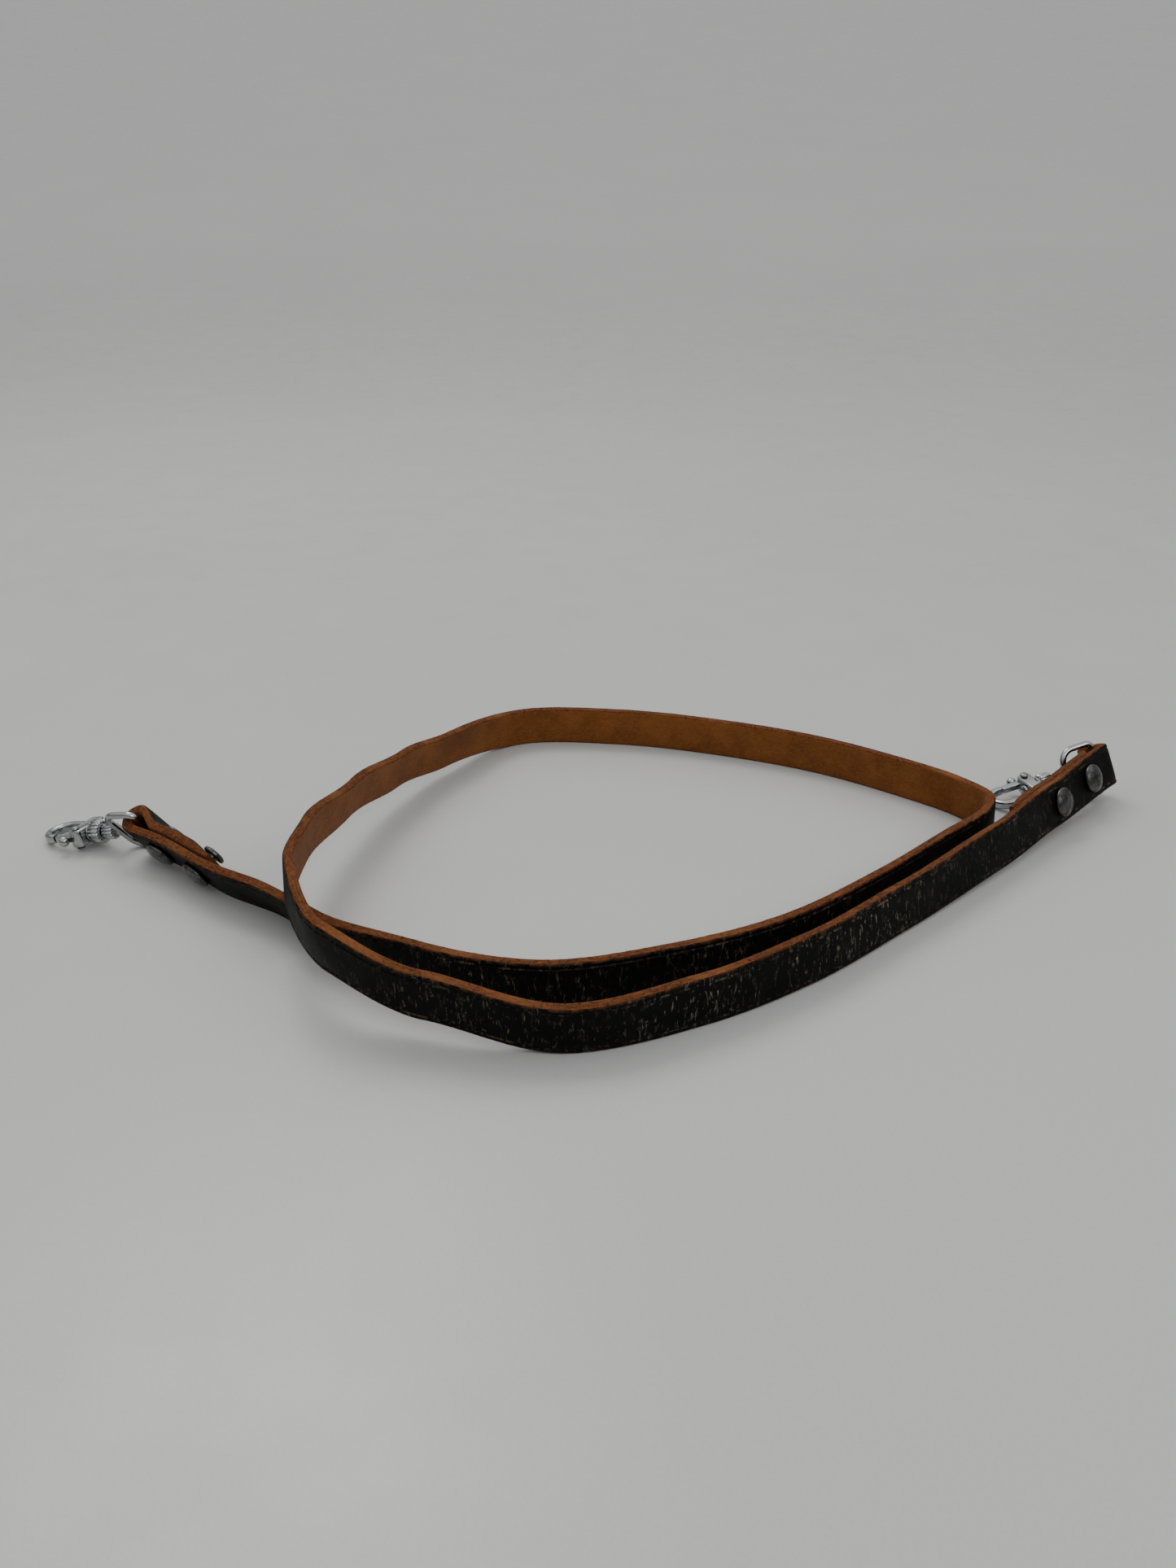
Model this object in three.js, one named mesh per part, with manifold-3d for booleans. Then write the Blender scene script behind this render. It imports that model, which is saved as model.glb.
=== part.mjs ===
// Leather camera neck strap lying on edge in a loose loop, with a swivel snap clip riveted into each end.
// Millimetres, +Z up, the floor at z = 0.
import * as THREE from "three";
import Module from "manifold-3d";
import { mergeVertices } from "three/addons/utils/BufferGeometryUtils.js";

// Leather strip
const STRAP_WIDTH = 11.0;
const STRAP_THICK = 2.3;
const FOLD_RADIUS = 2.7; // strip centre line to clip bar axis, in each end fold
const LAYER_GAP = 0.35; // between the strip and its folded-back tail
const TAIL_LENGTH = { left: 29, right: 46 };
const SKIVE_LENGTH = 8; // pared-down end of each tail
const SKIVE_THICK = 1.1;
const THROAT_LENGTH = 6.5; // from the bar to where the tail lies flat on the strip

// Rivets, two through each fold
const RIVET_AT = { left: [8.2, 23.8], right: [11, 27] }; // distance from the clip bar along the strip
const CAP_RADIUS = 3.7;
const CAP_HEIGHT = 1.6;
const BACK_RADIUS = 2.8;
const SHANK_RADIUS = 1.4;
const GAP = 0.3;
const SEAT_GAP = 0.45; // under a rivet head, where the strip twists

// Swivel clip, measured along its own axis from the bar in the leather fold
const WIRE_RADIUS = 0.85;
const EYE_HALF_WIDTH = 6.75;
const EYE_LENGTH = 9.0;
const EYE_CORNER = 3.4;
const STEM_RADIUS = 1.1;
const NUT = { from: 10.2, to: 13.6, radius: 2.1, teeth: 14 };
const COLLAR = { from: 13.9, to: 17.2, radius: 3.0, ribs: 16 };
const BASE = { from: 17.5, to: 21.0, halfThick: 2.2 };
const ARM_HALF_THICK = 1.2;
const HOOK_OUTER = 4.7;
const HOOK_INNER = 2.9;
const HOOK_CENTRE = 27.0;
const NOSE_END = 26.2;
const GATE_PIVOT = [19.3, -3.6];
const PIN_RADIUS = 0.6;
const KNOB_RADIUS = 1.35;
const KNOB_AT = [21.8, -5.9];

// Plan route of the strip's centre line: x, y, height of its lowest edge above the floor,
// and lean of its width from upright (positive: the top leans to the inside of the loop).
const ROUTE = [
  [-105.4, 5.4, 0.75, -36], [-95.6, -1.6, 0.35, -33], [-81.5, -14.3, 0.1, -30], [-67, -23.5, 0, -30],
  [-53.2, -37.6, 0, -22], [-33, -52, 0, -3], [-9, -59, 0, 0], [15, -53.6, 0, 0],
  [40, -42.2, 0, 0], [65, -22, 0, 0], [85.5, -2.2, 0, 0], [96.8, 8.2, 0, 2],
  [101.4, 17.4, 0, 4], [97, 27.6, 0, 6], [88, 37.4, 0, 6], [65, 56, 0, 6],
  [38, 69, 0, 6], [9, 77.2, 0, 6], [-20.9, 76.9, 0, 7], [-40.7, 54.5, 2.4, 17],
  [-51.4, 34.6, 5, 19], [-59.5, 8.8, 8.4, 19], [-63.2, -20, 11.7, 11], [-61.4, -39, 11.5, 3],
  [-49.4, -58.2, 8.4, -7], [-30.2, -67.4, 4, -8], [-3.3, -72, 0, -9], [22, -63.4, 0, 0],
  [44.5, -50, 0, 6], [69, -29.4, 0, 10], [98, -3.2, 0.8, 15], [118, 16.2, 2.1, 20], [140, 36.6, 4.3, 26],
];
const CENTRE = [3.19, 2.6]; // middle of the finished outline, moved to the origin

const wasm = await Module();
wasm.setup();
const Z = new THREE.Vector3(0, 0, 1);
const group = new THREE.Group();
const LEATHER = { color: 0x1d1a19, roughness: 0.62, metalness: 0 };
const NICKEL = { color: 0x6f6d6b, roughness: 0.32, metalness: 1 };
const CHROME = { color: 0xb9bcc0, roughness: 0.14, metalness: 1 };
const DARK_STEEL = { color: 0x55575a, roughness: 0.35, metalness: 1 };

function toSolid(geometry) {
  const bare = new THREE.BufferGeometry();
  bare.setAttribute("position", geometry.getAttribute("position"));
  if (geometry.index) bare.setIndex(geometry.index);
  const g = mergeVertices(bare, 1e-3);
  return new wasm.Manifold(new wasm.Mesh({
    numProp: 3, vertProperties: g.attributes.position.array, triVerts: new Uint32Array(g.index.array),
  }));
}

function toGeometry(solid) {
  const m = solid.getMesh();
  const g = new THREE.BufferGeometry();
  g.setAttribute("position", new THREE.BufferAttribute(new Float32Array(m.vertProperties), 3));
  g.setIndex(new THREE.BufferAttribute(new Uint32Array(m.triVerts), 1));
  g.computeVertexNormals();
  return g;
}

function add(parent, name, geometry, look) {
  const mesh = new THREE.Mesh(geometry, new THREE.MeshStandardMaterial(look));
  mesh.name = name;
  parent.add(mesh);
  return mesh;
}

// A turned piece: profile of [distance along +X, radius] pairs spun about the X axis.
function turned(profile, segments = 20) {
  const points = profile.map(([x, r]) => new THREE.Vector2(r, x));
  return new THREE.LatheGeometry(points, segments).rotateZ(-Math.PI / 2);
}

// ---- the leather strip -------------------------------------------------------------------
const plan = new THREE.CatmullRomCurve3(ROUTE.map(([x, y]) => new THREE.Vector3(x, y, 0)));

function station(u) {
  const at = u * (ROUTE.length - 1);
  const i = Math.min(Math.floor(at), ROUTE.length - 2);
  const f = THREE.MathUtils.smoothstep(at - i, 0, 1);
  const lean = THREE.MathUtils.degToRad(THREE.MathUtils.lerp(ROUTE[i][3], ROUTE[i + 1][3], f));
  const along = plan.getTangent(u).setZ(0).normalize();
  const side = new THREE.Vector3(-along.y, along.x, 0);
  const width = Z.clone().multiplyScalar(Math.cos(lean)).addScaledVector(side, Math.sin(lean));
  const flesh = side.clone().multiplyScalar(Math.cos(lean)).addScaledVector(Z, -Math.sin(lean));
  const foot = plan.getPoint(u);
  const clear = THREE.MathUtils.lerp(ROUTE[i][2], ROUTE[i + 1][2], f);
  foot.z = clear + (STRAP_THICK / 2) * Math.abs(Math.sin(lean));
  const centre = foot.clone().addScaledVector(width, STRAP_WIDTH / 2);
  return { centre, along, width, flesh };
}

const SAMPLES = 4000;
const lengths = [0];
for (let k = 1; k <= SAMPLES; k++) {
  const step = plan.getPoint(k / SAMPLES).distanceTo(plan.getPoint((k - 1) / SAMPLES));
  lengths.push(lengths[k - 1] + step);
}
const TOTAL = lengths[SAMPLES];
function stationAt(distance) {
  let k = lengths.findIndex((s) => s >= distance);
  k = Math.max(k, 1);
  const f = (distance - lengths[k - 1]) / (lengths[k] - lengths[k - 1]);
  return station((k - 1 + f) / SAMPLES);
}
const fromEnd = (end, distance) => stationAt(end === "left" ? distance : TOTAL - distance);
const layerOffset = (distance) => THREE.MathUtils.lerp(
  2 * FOLD_RADIUS, STRAP_THICK + LAYER_GAP, THREE.MathUtils.smoothstep(distance, 0, THROAT_LENGTH));

// Cross-sections in order along the strip: middle, width direction, direction to the flesh side, thickness.
const sections = [];
function tail(end) {
  const list = [];
  const length = TAIL_LENGTH[end];
  const steps = Math.round(length / 3);
  for (let k = 0; k <= steps; k++) {
    const d = (length * k) / steps;
    const s = fromEnd(end, d);
    const pare = THREE.MathUtils.smoothstep(length - d, 0, SKIVE_LENGTH);
    const thick = THREE.MathUtils.lerp(SKIVE_THICK, STRAP_THICK, pare);
    const offset = layerOffset(d) - (STRAP_THICK - thick) / 2;
    const middle = s.centre.clone().addScaledVector(s.flesh, offset);
    list.push({ middle, width: s.width, flesh: s.flesh.clone().negate(), thick });
  }
  return list;
}
function fold(end) {
  const list = [];
  const s = fromEnd(end, 0);
  const out = s.along.clone().multiplyScalar(end === "left" ? -1 : 1);
  const bar = s.centre.clone().addScaledVector(s.flesh, FOLD_RADIUS);
  for (let k = 1; k < 10; k++) {
    const a = (Math.PI * k) / 10;
    const inward = s.flesh.clone().multiplyScalar(Math.cos(a)).addScaledVector(out, -Math.sin(a));
    const middle = bar.clone().addScaledVector(inward, -FOLD_RADIUS);
    list.push({ middle, width: s.width, flesh: inward, thick: STRAP_THICK });
  }
  return list;
}
sections.push(...tail("left").reverse(), ...fold("left").reverse());
const STEPS = 190;
for (let k = 0; k <= STEPS; k++) {
  const s = stationAt((TOTAL * k) / STEPS);
  sections.push({ middle: s.centre, width: s.width, flesh: s.flesh, thick: STRAP_THICK });
}
sections.push(...fold("right"), ...tail("right"));

function sweep(list) {
  const points = [];
  const faces = [];
  const corners = [[-1, -1], [1, -1], [1, 1], [-1, 1]];
  for (const { middle, width, flesh, thick } of list) {
    for (const [a, b] of corners) {
      const p = middle.clone().addScaledVector(width, (a * STRAP_WIDTH) / 2);
      points.push(...p.addScaledVector(flesh, (b * thick) / 2).toArray());
    }
  }
  for (let i = 0; i + 1 < list.length; i++) {
    for (let c = 0; c < 4; c++) {
      const p = 4 * i + c;
      const q = 4 * i + ((c + 1) % 4);
      faces.push(p, p + 4, q, q, p + 4, q + 4);
    }
  }
  const last = points.length / 3 - 4;
  faces.push(0, 1, 2, 0, 2, 3, last, last + 2, last + 1, last, last + 3, last + 2);
  const g = new THREE.BufferGeometry();
  g.setAttribute("position", new THREE.Float32BufferAttribute(points, 3));
  g.setIndex(faces);
  return g;
}

// A frame at each rivet: +X points out of the strip's grain side, the origin on the middle of the main layer.
function rivetFrame(end, distance) {
  const s = fromEnd(end, distance);
  const x = s.flesh.clone().negate();
  return new THREE.Matrix4().makeBasis(x, s.width.clone().cross(x), s.width).setPosition(s.centre);
}

let strap = toSolid(sweep(sections));
for (const end of ["left", "right"]) {
  RIVET_AT[end].forEach((distance, n) => {
    const frame = rivetFrame(end, distance);
    const place = (geometry) => geometry.applyMatrix4(frame);
    const drill = new THREE.CylinderGeometry(SHANK_RADIUS + GAP, SHANK_RADIUS + GAP, 40, 16);
    strap = strap.subtract(toSolid(place(drill.rotateZ(Math.PI / 2))));
    const face = STRAP_THICK / 2 + SEAT_GAP;
    const rim = face + 0.5;
    const dome = [[face, SHANK_RADIUS - 0.35], [face, CAP_RADIUS], [rim, CAP_RADIUS]];
    for (let k = 1; k <= 6; k++) {
      const a = (Math.PI / 2) * (k / 6);
      dome.push([rim + (CAP_HEIGHT - 0.5) * Math.sin(a), k < 6 ? CAP_RADIUS * Math.cos(a) : 0]);
    }
    const socket = SHANK_RADIUS - 0.35;
    dome.unshift([face + 1.1, 0], [face + 1.1, socket]);
    add(group, `${end}_rivet_cap_${n + 1}`, place(turned(dome, 24)), NICKEL);
    const back = -(layerOffset(distance) + STRAP_THICK / 2 + SEAT_GAP);
    const tip = SHANK_RADIUS - 0.7;
    const post = [
      [back - 0.7, 0], [back - 0.7, BACK_RADIUS * 0.72], [back - 0.4, BACK_RADIUS], [back, BACK_RADIUS],
      [back, SHANK_RADIUS], [face - GAP, SHANK_RADIUS], [face - GAP, tip], [face + 0.7, tip], [face + 0.7, 0],
    ];
    add(group, `${end}_rivet_back_${n + 1}`, place(turned(post, 20)), NICKEL);
  });
}
add(group, "leather_strap", toGeometry(strap), LEATHER);

// ---- one clip, built along +X from the bar, its hook flat in the XY plane ------------------
function wireEye() {
  const corner = (x, y, from) => {
    const points = [];
    for (let k = 0; k <= 6; k++) {
      const a = from + (Math.PI / 2) * (k / 6);
      points.push(new THREE.Vector3(x + EYE_CORNER * Math.cos(a), y + EYE_CORNER * Math.sin(a), 0));
    }
    return points;
  };
  const tight = 1.6; // the bar's own corners are tighter
  const near = (y, from) => {
    const points = [];
    for (let k = 0; k <= 4; k++) {
      const a = from + (Math.PI / 2) * (k / 4);
      points.push(new THREE.Vector3(tight + tight * Math.cos(a), y + tight * Math.sin(a), 0));
    }
    return points;
  };
  const inset = EYE_HALF_WIDTH - EYE_CORNER;
  const points = [
    ...corner(EYE_LENGTH - EYE_CORNER, -inset, -Math.PI / 2), ...corner(EYE_LENGTH - EYE_CORNER, inset, 0),
    ...near(EYE_HALF_WIDTH - tight, Math.PI / 2), ...near(-(EYE_HALF_WIDTH - tight), Math.PI),
  ];
  const loop = new THREE.CatmullRomCurve3(points, true, "centripetal");
  return new THREE.TubeGeometry(loop, 72, WIRE_RADIUS, 10, true);
}

function eyeAndStem() {
  const head = BASE.to + GAP;
  const stem = turned([
    [EYE_LENGTH - 0.5, 0], [EYE_LENGTH - 0.5, STEM_RADIUS], [head, STEM_RADIUS], [head, 1.5],
    [head + 0.6, 1.5], [head + 1.0, 1.1], [head + 1.0, 0],
  ]);
  return toGeometry(toSolid(wireEye()).add(toSolid(stem)));
}

// A toothed or ribbed ring about the X axis with a clear bore for the stem.
function ribbedRing({ from, to, radius }, ribs, depth) {
  const outline = new THREE.Shape();
  for (let k = 0; k < ribs * 4; k++) {
    const a = (2 * Math.PI * k) / (ribs * 4);
    const r = k % 4 < 2 ? radius : radius - depth;
    if (k) outline.lineTo(r * Math.cos(a), r * Math.sin(a));
    else outline.moveTo(r, 0);
  }
  outline.closePath();
  const bore = new THREE.Path().absarc(0, 0, STEM_RADIUS + GAP, 0, 2 * Math.PI, true);
  outline.holes.push(bore);
  const g = new THREE.ExtrudeGeometry(outline, { depth: to - from, bevelEnabled: false, curveSegments: 10 });
  return g.rotateY(Math.PI / 2).translate(from, 0, 0);
}

function plate(shape, halfThick) {
  const g = new THREE.ExtrudeGeometry(shape, { depth: 2 * halfThick, bevelEnabled: false, curveSegments: 10 });
  return g.translate(0, 0, -halfThick);
}

function hookBody() {
  const hook = new THREE.Shape();
  hook.moveTo(BASE.from, HOOK_INNER - 0.6);
  hook.lineTo(BASE.to - 0.4, HOOK_INNER);
  hook.lineTo(HOOK_CENTRE, HOOK_INNER);
  hook.absarc(HOOK_CENTRE, 0, HOOK_INNER, Math.PI / 2, -Math.PI / 2, true);
  hook.lineTo(NOSE_END, -HOOK_INNER);
  hook.lineTo(NOSE_END, -HOOK_OUTER + 0.2);
  hook.lineTo(NOSE_END + 0.4, -HOOK_OUTER);
  hook.lineTo(HOOK_CENTRE, -HOOK_OUTER);
  hook.absarc(HOOK_CENTRE, 0, HOOK_OUTER, -Math.PI / 2, Math.PI / 2, false);
  hook.lineTo(BASE.from, HOOK_OUTER);
  const base = new THREE.Shape();
  base.moveTo(BASE.from, -HOOK_OUTER + 0.3);
  base.lineTo(BASE.from + 0.6, -HOOK_OUTER - 0.2);
  base.lineTo(BASE.to - 0.6, -HOOK_OUTER - 0.2);
  base.lineTo(BASE.to, -HOOK_OUTER + 0.3);
  base.lineTo(BASE.to, HOOK_OUTER - 0.6);
  base.lineTo(BASE.to - 0.6, HOOK_OUTER);
  base.lineTo(BASE.from, HOOK_OUTER);
  let solid = toSolid(plate(hook, ARM_HALF_THICK)).add(toSolid(plate(base, BASE.halfThick)));
  const bore = new THREE.CylinderGeometry(STEM_RADIUS + GAP, STEM_RADIUS + GAP, 12, 16).rotateZ(Math.PI / 2);
  solid = solid.subtract(toSolid(bore.translate(BASE.from, 0, 0)));
  const slot = new THREE.BoxGeometry(BASE.to - BASE.from + 2, 4, 2.2);
  solid = solid.subtract(toSolid(slot.translate((BASE.from + BASE.to) / 2, -HOOK_OUTER + 0.9, 0)));
  const hole = new THREE.CylinderGeometry(PIN_RADIUS + 0.2, PIN_RADIUS + 0.2, 12, 12).rotateX(Math.PI / 2);
  return toGeometry(solid.subtract(toSolid(hole.translate(GATE_PIVOT[0], GATE_PIVOT[1], 0))));
}

function gateLever() {
  const [px, py] = GATE_PIVOT;
  const arm = new THREE.Shape();
  arm.moveTo(px - 1.1, py + 0.75);
  arm.lineTo(px - 1.1, py - 0.75);
  arm.lineTo(px - 0.7, py - 1.1);
  arm.lineTo(NOSE_END - 0.5, -HOOK_OUTER + 0.1);
  arm.lineTo(NOSE_END - GAP, -HOOK_OUTER + 0.5);
  arm.lineTo(NOSE_END - GAP, -HOOK_INNER + 0.1);
  arm.lineTo(px + 1.1, py + 0.9);
  let solid = toSolid(plate(arm, 0.8));
  const neck = new THREE.CylinderGeometry(0.6, 0.7, 1.6, 10).translate(KNOB_AT[0], KNOB_AT[1] + 1.0, 0);
  const knob = new THREE.SphereGeometry(KNOB_RADIUS, 16, 10).translate(KNOB_AT[0], KNOB_AT[1], 0);
  solid = solid.add(toSolid(neck)).add(toSolid(knob));
  const hole = new THREE.CylinderGeometry(PIN_RADIUS + 0.2, PIN_RADIUS + 0.2, 4, 12).rotateX(Math.PI / 2);
  return toGeometry(solid.subtract(toSolid(hole.translate(px, py, 0))));
}

function hingePin() {
  const z = BASE.halfThick + GAP;
  const profile = [[-z - 0.45, 0], [-z - 0.45, 0.8], [-z, 1.05], [-z, PIN_RADIUS],
    [z, PIN_RADIUS], [z, 1.05], [z + 0.45, 0.8], [z + 0.45, 0]];
  return turned(profile, 12).rotateY(-Math.PI / 2).translate(GATE_PIVOT[0], GATE_PIVOT[1], 0);
}

function gateSpring() {
  const [px, py] = GATE_PIVOT;
  const leaf = new THREE.Shape();
  leaf.moveTo(px - 1.2, py + 1.35);
  leaf.lineTo(px + 0.9, py + 1.35);
  leaf.lineTo(px + 3.4, py + 1.15);
  leaf.lineTo(px + 3.4, py + 1.4);
  leaf.lineTo(px + 0.9, py + 1.6);
  leaf.lineTo(px - 1.2, py + 1.6);
  return plate(leaf, 0.6);
}

// A clip at rest points square to its bar and falls until the hook's tip lies on the floor.
function clip(end, flip) {
  const s = fromEnd(end, 0);
  const bar = s.centre.clone().addScaledVector(s.flesh, FOLD_RADIUS);
  const across = s.width.clone().cross(Z).normalize();
  if (across.x > 0) across.negate();
  const down = across.clone().cross(s.width);
  if (down.z > 0) down.negate();
  const drop = (bar.z - ARM_HALF_THICK - 0.1) / (HOOK_CENTRE + HOOK_OUTER);
  const tilt = Math.asin(drop / -down.z);
  const axis = across.multiplyScalar(Math.cos(tilt)).addScaledVector(down, Math.sin(tilt));
  const eye = new THREE.Group();
  eye.applyMatrix4(new THREE.Matrix4().makeBasis(axis, s.width, axis.clone().cross(s.width)).setPosition(bar));
  group.add(eye);
  add(eye, `${end}_eye_ring`, eyeAndStem(), CHROME);
  add(eye, `${end}_stem_nut`, ribbedRing(NUT, NUT.teeth, 0.35), CHROME);
  const level = Z.clone().cross(axis).normalize().multiplyScalar(flip);
  const hook = new THREE.Group();
  hook.applyMatrix4(new THREE.Matrix4().makeBasis(axis, level, axis.clone().cross(level)).setPosition(bar));
  group.add(hook);
  add(hook, `${end}_swivel_collar`, ribbedRing(COLLAR, COLLAR.ribs, 0.3), CHROME);
  add(hook, `${end}_hook_body`, hookBody(), CHROME);
  add(hook, `${end}_gate_lever`, gateLever(), CHROME);
  add(hook, `${end}_gate_pin`, hingePin(), DARK_STEEL);
  add(hook, `${end}_gate_spring`, gateSpring(), DARK_STEEL);
}
clip("left", -1);
clip("right", 1);

group.position.set(-CENTRE[0], -CENTRE[1], 0);
export default group;
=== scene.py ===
import math
import random

import bmesh
import bpy
import numpy as np
from mathutils import Matrix, Vector


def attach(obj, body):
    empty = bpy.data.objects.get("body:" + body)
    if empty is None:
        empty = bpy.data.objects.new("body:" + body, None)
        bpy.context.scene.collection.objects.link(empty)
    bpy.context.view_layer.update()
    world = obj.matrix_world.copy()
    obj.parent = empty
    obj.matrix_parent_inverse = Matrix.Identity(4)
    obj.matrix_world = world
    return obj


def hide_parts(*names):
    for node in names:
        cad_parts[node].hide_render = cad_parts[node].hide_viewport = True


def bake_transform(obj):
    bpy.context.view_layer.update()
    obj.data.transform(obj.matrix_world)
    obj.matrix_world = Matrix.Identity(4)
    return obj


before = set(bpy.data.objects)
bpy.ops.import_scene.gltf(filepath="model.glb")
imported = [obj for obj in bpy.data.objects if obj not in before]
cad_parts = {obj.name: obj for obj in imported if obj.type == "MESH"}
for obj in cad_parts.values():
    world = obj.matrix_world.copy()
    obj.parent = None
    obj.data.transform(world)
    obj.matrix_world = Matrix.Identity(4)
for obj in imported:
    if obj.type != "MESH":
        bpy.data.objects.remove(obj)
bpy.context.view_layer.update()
random.seed(11)
MM = 0.001
ENDS = ("left", "right")

# The strip's route on the table: x, y, clearance of its lowest edge (metres), lean in degrees.
ROUTE = np.array([
    (-0.1054, 0.0054, 0.00075, -36), (-0.0956, -0.0016, 0.00035, -33), (-0.0815, -0.0143, 0.0001, -30),
    (-0.067, -0.0235, 0, -30), (-0.0532, -0.0376, 0, -22), (-0.033, -0.052, 0, -3),
    (-0.009, -0.059, 0, 0), (0.015, -0.0536, 0, 0), (0.04, -0.0422, 0, 0), (0.065, -0.022, 0, 0),
    (0.0855, -0.0022, 0, 0), (0.0968, 0.0082, 0, 2), (0.1014, 0.0174, 0, 4), (0.097, 0.0276, 0, 6),
    (0.088, 0.0374, 0, 6), (0.065, 0.056, 0, 6), (0.038, 0.069, 0, 6), (0.009, 0.0772, 0, 6),
    (-0.0209, 0.0769, 0, 7), (-0.0407, 0.0545, 0.0024, 17), (-0.0514, 0.0346, 0.005, 19),
    (-0.0595, 0.0088, 0.0084, 19), (-0.0632, -0.02, 0.0117, 11), (-0.0614, -0.039, 0.0115, 3),
    (-0.0494, -0.0582, 0.0084, -7), (-0.0302, -0.0674, 0.004, -8), (-0.0033, -0.072, 0, -9),
    (0.022, -0.0634, 0, 0), (0.0445, -0.05, 0, 6), (0.069, -0.0294, 0, 10), (0.098, -0.0032, 0.0008, 15),
    (0.118, 0.0162, 0.0021, 20), (0.14, 0.0366, 0.0043, 26),
])
CENTRE = np.array([0.00319, 0.0026, 0.0])  # middle of the whole outline, which lies on the frame's origin
UP = np.array([0.0, 0.0, 1.0])

# Strip, in metres
WIDTH, THICK = 0.011, 0.0023
FOLD_RADIUS = 0.0027  # from the clip's bar to the middle of the strip round it
LAYER_GAP = 0.00035
TAIL_LENGTH = {"left": 0.029, "right": 0.046}
SKIVE_LENGTH, SKIVE_THICK = 0.008, 0.0011  # pared end of each tail
THROAT_LENGTH = 0.0065
CREASE = 0.0043  # pressed line, from the middle of the strip
RIVET_AT = {"left": (0.0082, 0.0238), "right": (0.011, 0.027)}
SEAT = 0.00045  # under a rivet's head
WORN_BENDS = ((0.69, 0.055, 0.11, 1.0), (0.175, 0.03, 0.07, 0.65))  # place, full and faded reach, strength

# Clip, in millimetres from the bar along its own axis
WIRE_RADIUS, STEM_RADIUS = 0.85, 1.1
EYE_LENGTH, EYE_HALF_WIDTH, EYE_CORNER, BAR_CORNER = 9.0, 6.75, 3.4, 1.6
NUT = {"start": 10.2, "stop": 13.6, "radius": 2.1, "ribs": 14, "depth": 0.3}
COLLAR = {"start": 13.9, "stop": 17.2, "radius": 3.0, "ribs": 18, "depth": 0.28}
BLOCK_START, BLOCK_STOP, BLOCK_HALF = 17.5, 21.0, 2.2
STEM_HEAD = 21.3
HOOK_CENTRE, HOOK_RADIUS, HOOK_TIP = 27.0, 3.8, 31.7
GATE_PIVOT = (19.3, -3.6)
KNOB_AT, KNOB_RADIUS = (21.8, -5.9), 1.35
TIP_HEIGHT = 1.3  # the hook's middle plane above the table, at its tip


# ---- route -----------------------------------------------------------------------------------
def smooth(x, a, b):
    """Smoothstep from 0 at a to 1 at b."""
    t = np.clip((x - a) / (b - a), 0, 1)
    return t * t * (3 - 2 * t)


def unit(v):
    return v / np.linalg.norm(v, axis=-1, keepdims=True)


def plan(u):
    """Points of the centripetal Catmull-Rom curve through the route, seen from above, for u from 0 to 1."""
    p = ROUTE[:, :2]
    ends = np.vstack([2 * p[0] - p[1], p, 2 * p[-1] - p[-2]])
    at = np.clip(u, 0, 1) * (len(p) - 1)
    i = np.minimum(at.astype(int), len(p) - 2)
    w = (at - i)[:, None]
    a, b, c, d = ends[i], ends[i + 1], ends[i + 2], ends[i + 3]
    d0, d1, d2 = (np.sqrt(np.linalg.norm(gap, axis=1))[:, None] for gap in (b - a, c - b, d - c))
    t1 = ((b - a) / d0 - (c - a) / (d0 + d1) + (c - b) / d1) * d1
    t2 = ((c - b) / d1 - (d - b) / (d1 + d2) + (d - c) / d2) * d1
    return b + t1 * w + (3 * (c - b) - 2 * t1 - t2) * w**2 + (2 * (b - c) + t1 + t2) * w**3


GRID = np.linspace(0, 1, 4001)
LENGTHS = np.concatenate([[0], np.cumsum(np.linalg.norm(np.diff(plan(GRID), axis=0), axis=1))])
TOTAL = LENGTHS[-1]


def station(distance):
    """Middle, forward, width and flesh-side directions of the strip at distances from its left end."""
    u = np.interp(np.atleast_1d(distance), LENGTHS, GRID)
    i = np.minimum((u * (len(ROUTE) - 1)).astype(int), len(ROUTE) - 2)
    f = smooth(u * (len(ROUTE) - 1) - i, 0, 1)
    clear = ROUTE[i, 2] + (ROUTE[i + 1, 2] - ROUTE[i, 2]) * f
    lean = np.radians(ROUTE[i, 3] + (ROUTE[i + 1, 3] - ROUTE[i, 3]) * f)[:, None]
    flat = plan(np.minimum(u + 1e-4, 1)) - plan(np.maximum(u - 1e-4, 0))
    along = unit(np.column_stack([flat, np.zeros(len(u))]))
    side = np.column_stack([-along[:, 1], along[:, 0], np.zeros(len(u))])
    width = np.cos(lean) * UP + np.sin(lean) * side
    flesh = np.cos(lean) * side - np.sin(lean) * UP
    foot = np.column_stack([plan(u), clear + THICK / 2 * np.abs(np.sin(lean[:, 0]))]) - CENTRE
    return foot + width * WIDTH / 2, along, width, flesh


def from_end(end, distance):
    """The station at one distance from the named end."""
    return (v[0] for v in station(distance if end == "left" else TOTAL - distance))


def layer_offset(d):
    """From the middle of the strip to the middle of the tail folded back on it."""
    return 2 * FOLD_RADIUS + (THICK + LAYER_GAP - 2 * FOLD_RADIUS) * smooth(d, 0, THROAT_LENGTH)


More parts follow.
